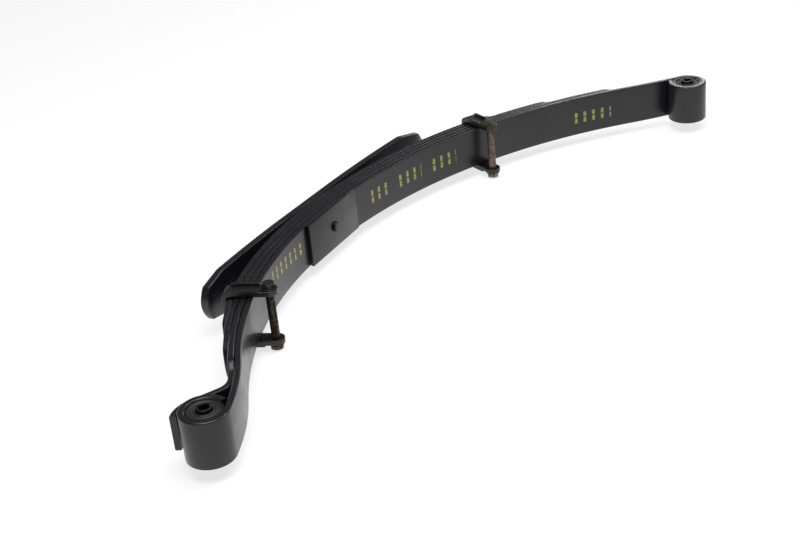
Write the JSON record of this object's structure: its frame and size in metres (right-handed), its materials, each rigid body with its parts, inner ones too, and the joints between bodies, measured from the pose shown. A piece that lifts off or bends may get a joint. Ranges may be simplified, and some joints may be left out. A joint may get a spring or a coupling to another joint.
{
  "type": "leaf spring",
  "caption": "Bushed semi-elliptic leaf spring pack with a caster wedge, bolted rebound clips and a flatter overload leaf for an axle.",
  "frame": {"origin": "centre of the flat end of the centre bolt's locating head, on the concave side of the pack", "axes": "+X from the front eye to the rear eye, +Y from the axle seat to the convex side of the pack, +Z across the leaves, along both eyes; the spring lies on its side"},
  "size_m": [1.1129, 0.3819, 0.0934],
  "materials": {
    "main_leaf": "satin black paint",
    "second_leaf": "satin black paint",
    "third_leaf": "satin black paint",
    "fourth_leaf": "satin black paint",
    "overload_leaf": "satin black paint",
    "caster_wedge": "satin black paint",
    "centre_bolt": "satin black paint",
    "centre_nut": "satin black paint",
    "front_bush_shell": "satin black paint",
    "front_bush_rubber": "moulded, matt",
    "front_clip_strap": "satin black paint",
    "front_clip_bolt": "plated, browned",
    "front_clip_nut": "plated, rusted",
    "front_clip_head_washer": "zinc plated",
    "front_clip_nut_washer": "zinc plated",
    "front_clip_rivet": "satin black paint",
    "front_bush_sleeve": "machined, lightly tarnished",
    "rear_bush_shell": "satin black paint",
    "rear_bush_rubber": "moulded, matt",
    "rear_clip_strap": "satin black paint",
    "rear_clip_bolt": "plated, coppery brown",
    "rear_clip_nut": "zinc plated",
    "rear_clip_head_washer": "zinc plated",
    "rear_clip_nut_washer": "zinc plated",
    "rear_clip_rivet": "satin black paint",
    "rear_bush_sleeve": "machined, lightly tarnished"
  },
  "bodies": {
    "pack": {"main_leaf": "main_leaf", "second_leaf": "second_leaf", "third_leaf": "third_leaf", "fourth_leaf": "fourth_leaf", "overload_leaf": "overload_leaf", "caster_wedge": "caster_wedge", "centre_bolt": "centre_bolt", "centre_nut": "centre_nut"},
    "front_end": {"front_bush_shell": "front_bush_shell", "front_bush_rubber": "front_bush_rubber", "front_clip_strap": "front_clip_strap", "front_clip_bolt": "front_clip_bolt", "front_clip_nut": "front_clip_nut", "front_clip_head_washer": "front_clip_head_washer", "front_clip_nut_washer": "front_clip_nut_washer", "front_clip_rivet": "front_clip_rivet"},
    "front_sleeve": {"front_bush_sleeve": "front_bush_sleeve"},
    "rear_end": {"rear_bush_shell": "rear_bush_shell", "rear_bush_rubber": "rear_bush_rubber", "rear_clip_strap": "rear_clip_strap", "rear_clip_bolt": "rear_clip_bolt", "rear_clip_nut": "rear_clip_nut", "rear_clip_head_washer": "rear_clip_head_washer", "rear_clip_nut_washer": "rear_clip_nut_washer", "rear_clip_rivet": "rear_clip_rivet"},
    "rear_sleeve": {"rear_bush_sleeve": "rear_bush_sleeve"}
  },
  "joints": [
    {"name": "front_flex", "type": "hinge", "parent": "pack", "child": "front_end", "pos_m": [-0.12816, 0.01423, 0], "axis": [0, 0, -1], "range_deg": [0, 11], "stiffness_Nm_per_rad": 4700, "deforming": ["main_leaf", "second_leaf", "third_leaf", "fourth_leaf"]},
    {"name": "rear_flex", "type": "hinge", "parent": "pack", "child": "rear_end", "pos_m": [0.1713, 0.00689, 0], "axis": [0, 0, 1], "range_deg": [0, 13], "stiffness_Nm_per_rad": 3500, "deforming": ["main_leaf", "second_leaf", "third_leaf", "fourth_leaf"]},
    {"name": "front_bush_twist", "type": "hinge", "parent": "front_end", "child": "front_sleeve", "pos_m": [-0.47457, -0.13434, 0], "axis": [0, 0, 1], "range_deg": [-15, 15], "stiffness_Nm_per_rad": 60},
    {"name": "rear_bush_twist", "type": "hinge", "parent": "rear_end", "child": "rear_sleeve", "pos_m": [0.58027, -0.28714, 0], "axis": [0, 0, 1], "range_deg": [-15, 15], "stiffness_Nm_per_rad": 60}
  ]
}
